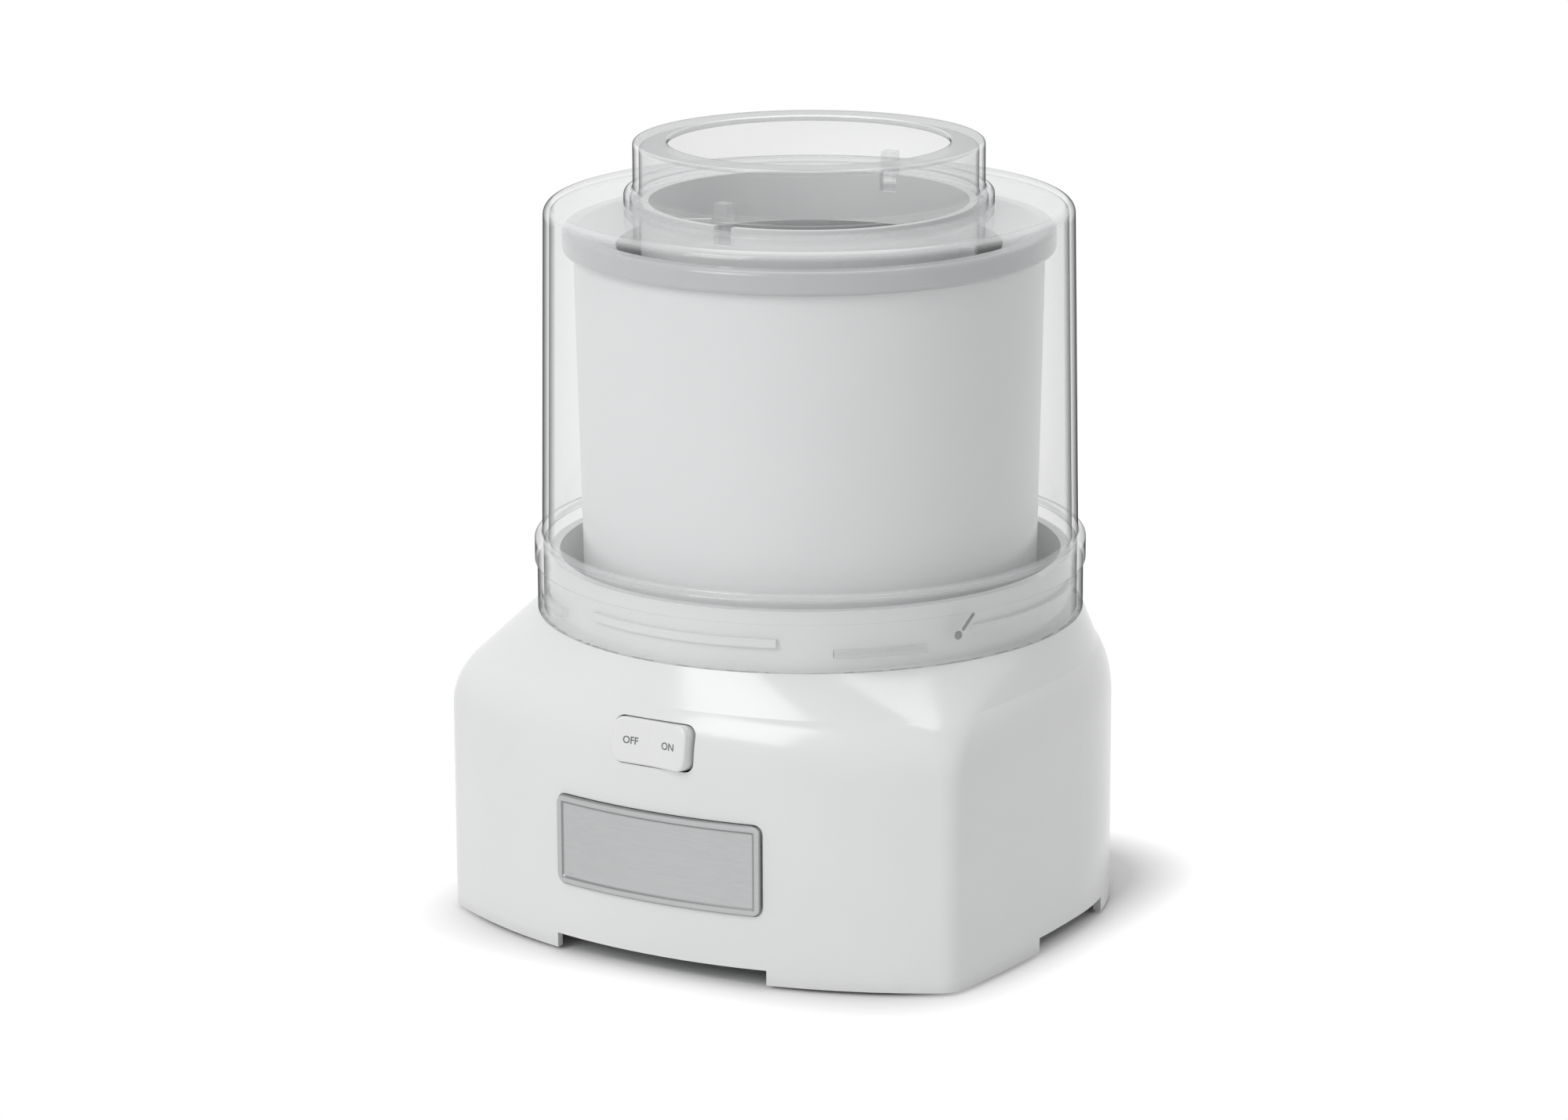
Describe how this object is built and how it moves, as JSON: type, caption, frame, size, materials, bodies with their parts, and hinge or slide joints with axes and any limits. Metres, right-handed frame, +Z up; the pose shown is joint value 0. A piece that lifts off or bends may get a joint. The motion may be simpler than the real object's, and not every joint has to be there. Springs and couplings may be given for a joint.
{
  "type": "ice cream maker",
  "caption": "Countertop ice cream maker: moulded motor base with a rocker switch, driven freezer bowl, still mixing paddle and clear lid with a filling chimney.",
  "frame": {"origin": "on the table, under the bowl's axis, at the middle of the footprint", "axes": "+Z up along the bowl's axis, -Y to the front with the switch and plate, +X to the right seen from the front"},
  "size_m": [0.223, 0.2324, 0.286],
  "materials": {
    "white_housing": "moulded, satin gloss",
    "silver_plate": "bright foil",
    "white_rocker": "moulded gloss",
    "black_plastic": "moulded",
    "brass": "turned",
    "black_rubber": "soft",
    "grey_plastic": "moulded",
    "steel": "turned",
    "nylon": "moulded",
    "hub_plastic": "moulded",
    "lamination": "stacked sheet",
    "copper_winding": "enamelled wire",
    "zinc": "pressed",
    "bowl_white": "moulded gloss",
    "bowl_metal": "spun",
    "rim_grey": "moulded gloss",
    "gel": "soft gel",
    "paddle_white": "moulded gloss",
    "clear_lid": "clear moulding"
  },
  "bodies": {
    "base": {"base_housing": "white_housing", "corner_skirt_1": "white_housing", "corner_skirt_2": "white_housing", "corner_skirt_3": "white_housing", "corner_skirt_4": "white_housing", "name_plate": "silver_plate", "switch_body": "black_plastic", "switch_terminals": "brass", "cord_gland": "black_rubber", "bottom_plate": "grey_plastic", "housing_screws": "steel", "gear_case": "grey_plastic", "gear_cover": "grey_plastic", "gear_case_screws": "steel", "idler_axle": "steel", "lower_shaft_bush": "brass", "upper_shaft_bush": "brass", "shaft_seal": "black_rubber", "motor_stator": "lamination", "motor_coil": "copper_winding", "upper_motor_bracket": "zinc", "lower_motor_bracket": "zinc", "upper_motor_bush": "brass", "lower_motor_bush": "brass", "motor_screws": "steel", "rubber_foot_1": "black_rubber", "rubber_foot_2": "black_rubber", "rubber_foot_3": "black_rubber", "rubber_foot_4": "black_rubber"},
    "drive": {"output_gear": "nylon", "output_shaft": "steel", "retaining_clip": "steel", "drive_hub": "hub_plastic"},
    "idler": {"idler_gear": "nylon"},
    "rotor": {"motor_rotor": "lamination", "motor_shaft": "steel", "motor_pinion": "brass", "cooling_fan": "black_plastic"},
    "bowl": {"bowl_shell": "bowl_white", "bowl_liner": "bowl_metal", "bowl_rim_ring": "rim_grey", "cooling_gel": "gel"},
    "paddle": {"mixing_paddle": "paddle_white"},
    "lid": {"lid": "clear_lid", "lid_chimney": "clear_lid"},
    "rocker": {"switch_rocker": "white_rocker"}
  },
  "joints": [
    {"name": "drive_spin", "type": "hinge", "parent": "base", "child": "drive", "pos_m": [0, 0, 0.092], "axis": [0, 0, 1], "continuous": true},
    {"name": "idler_spin", "type": "hinge", "parent": "base", "child": "idler", "pos_m": [-0.03377, 0.0195, 0.0737], "axis": [0, 0, 1], "continuous": true},
    {"name": "rotor_spin", "type": "hinge", "parent": "base", "child": "rotor", "pos_m": [-0.06205, 0.025, 0.0405], "axis": [0, 0, 1], "continuous": true},
    {"name": "bowl_lift", "type": "slide", "parent": "drive", "child": "bowl", "axis": [0, 0, 1], "range_m": [0, 0.2]},
    {"name": "paddle_turn", "type": "hinge", "parent": "bowl", "child": "paddle", "pos_m": [0, 0, 0.119], "axis": [0, 0, 1], "continuous": true},
    {"name": "lid_lift", "type": "slide", "parent": "paddle", "child": "lid", "axis": [0, 0, 1], "range_m": [0, 0.2]},
    {"name": "switch_tilt", "type": "hinge", "parent": "base", "child": "rocker", "pos_m": [0, -0.10653, 0.085], "axis": [0, 0.16, 0.9871], "range_deg": [0, 10]}
  ],
  "couplings": [
    {"joint": "idler_spin", "follows": "drive_spin", "ratio": -5.5},
    {"joint": "rotor_spin", "follows": "drive_spin", "ratio": 27.5},
    {"joint": "paddle_turn", "follows": "drive_spin", "ratio": -1}
  ]
}
